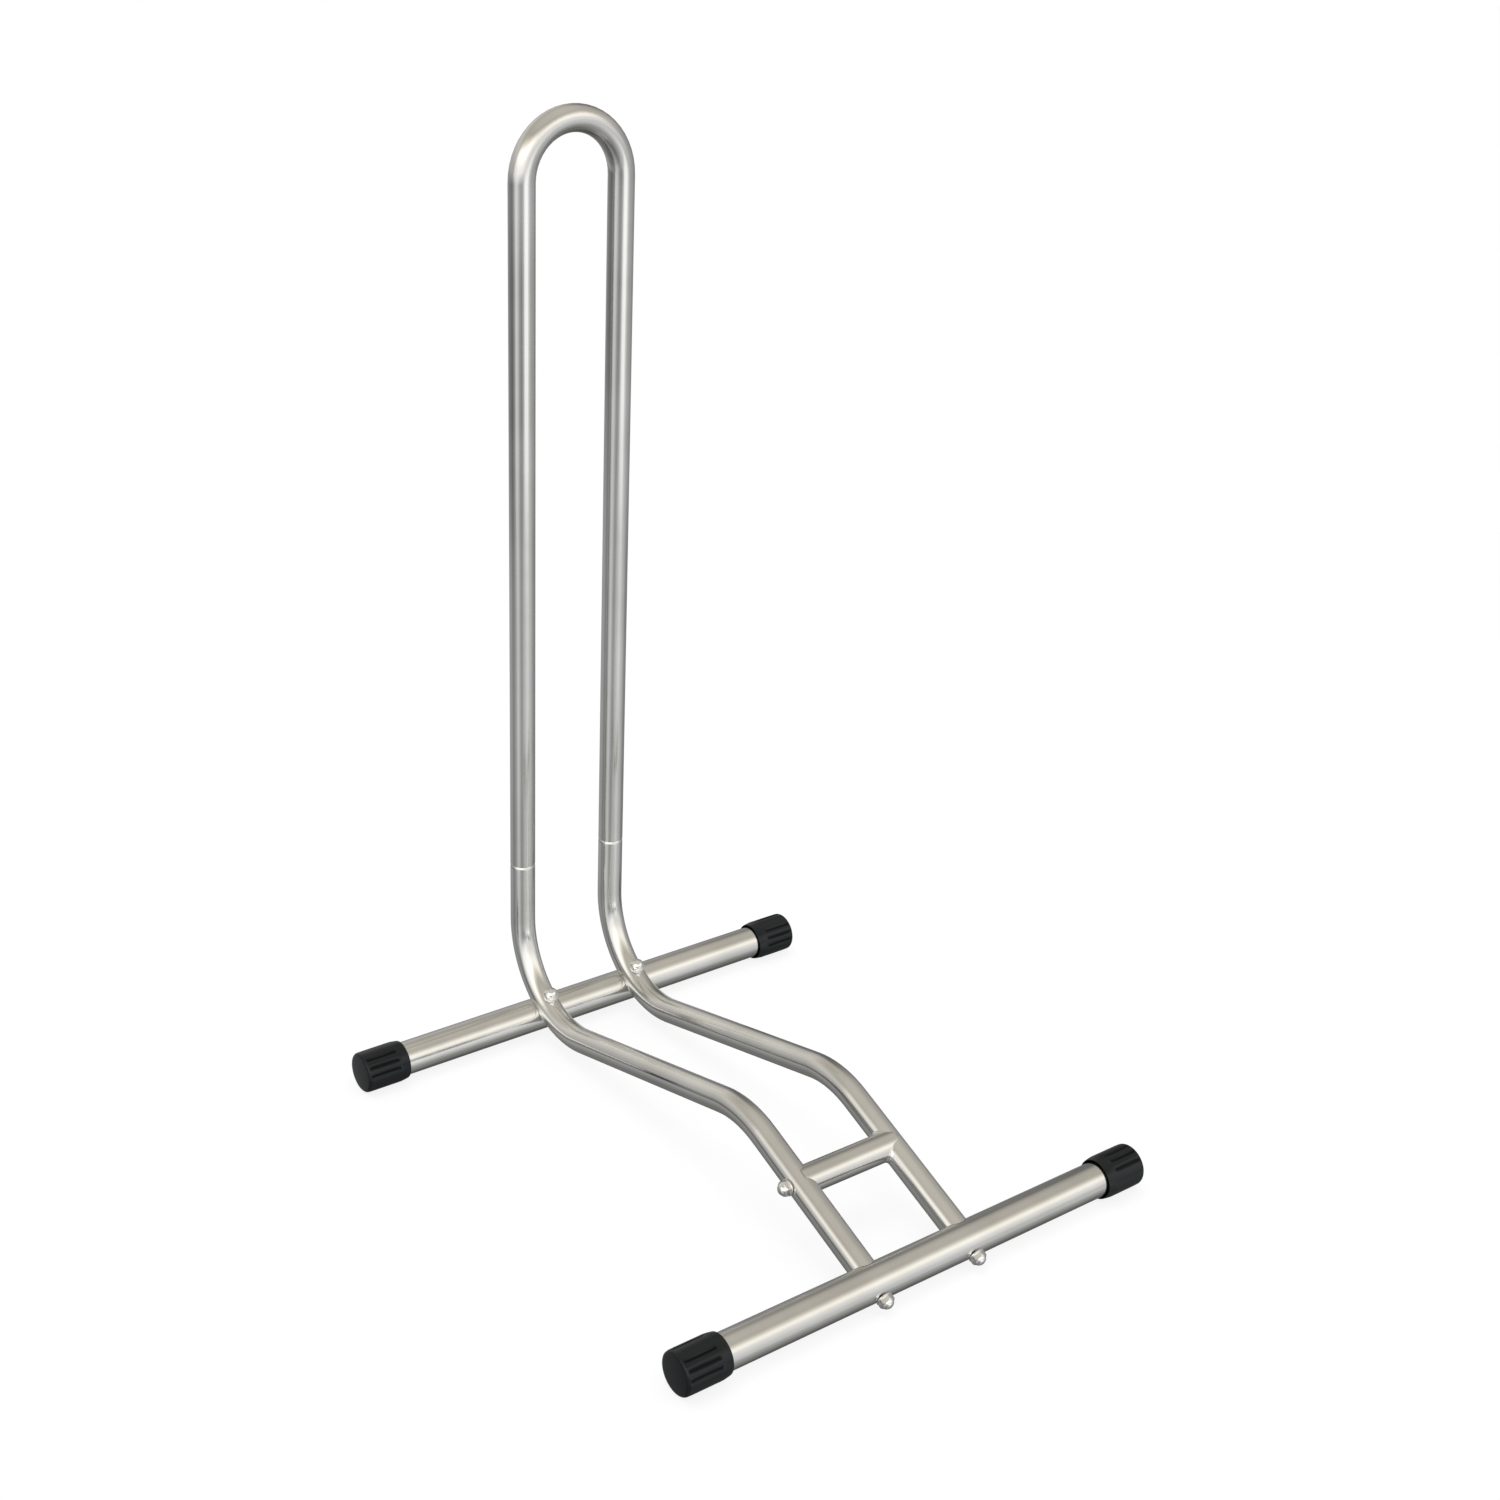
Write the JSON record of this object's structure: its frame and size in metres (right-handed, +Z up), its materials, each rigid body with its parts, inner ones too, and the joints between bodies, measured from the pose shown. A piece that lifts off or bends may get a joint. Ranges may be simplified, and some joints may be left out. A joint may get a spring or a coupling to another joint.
{
  "type": "floor bike stand",
  "caption": "Floor stand that holds a bicycle upright by one wheel: a tall plug-on tube hoop over two bent frame tubes on capped floor tubes.",
  "frame": {"origin": "on the floor, under the middle of the stand's outer box", "axes": "+X across the stand, -Y the side a wheel rolls in from, +Z up"},
  "size_m": [0.399, 0.4599, 0.7],
  "materials": {
    "tube_steel": "bright satin",
    "bright_fixings": "polished",
    "plain_steel": "plain turned",
    "foot_rubber": "matte"
  },
  "bodies": {
    "base": {"bar_left_bolt": "bright_fixings", "bar_left_plug": "plain_steel", "bar_left_washer": "bright_fixings", "crossbar": "tube_steel", "front_base_tube": "tube_steel", "front_left_bolt": "bright_fixings", "front_left_foot_cap": "foot_rubber", "front_left_plug": "plain_steel", "front_left_washer": "bright_fixings", "front_right_bolt": "bright_fixings", "front_right_foot_cap": "foot_rubber", "front_right_plug": "plain_steel", "front_right_washer": "bright_fixings", "left_frame_tube": "tube_steel", "rear_base_tube": "tube_steel", "rear_left_bolt": "bright_fixings", "rear_left_foot_cap": "foot_rubber", "rear_left_insert": "plain_steel", "rear_left_washer": "bright_fixings", "rear_right_bolt": "bright_fixings", "rear_right_foot_cap": "foot_rubber", "rear_right_insert": "plain_steel", "rear_right_washer": "bright_fixings", "right_frame_tube": "tube_steel"},
    "hoop": {"upper_hoop": "tube_steel"}
  },
  "joints": [
    {"name": "hoop_lift", "type": "slide", "parent": "base", "child": "hoop", "axis": [0, 0, 1], "range_m": [0, 0.06]}
  ]
}
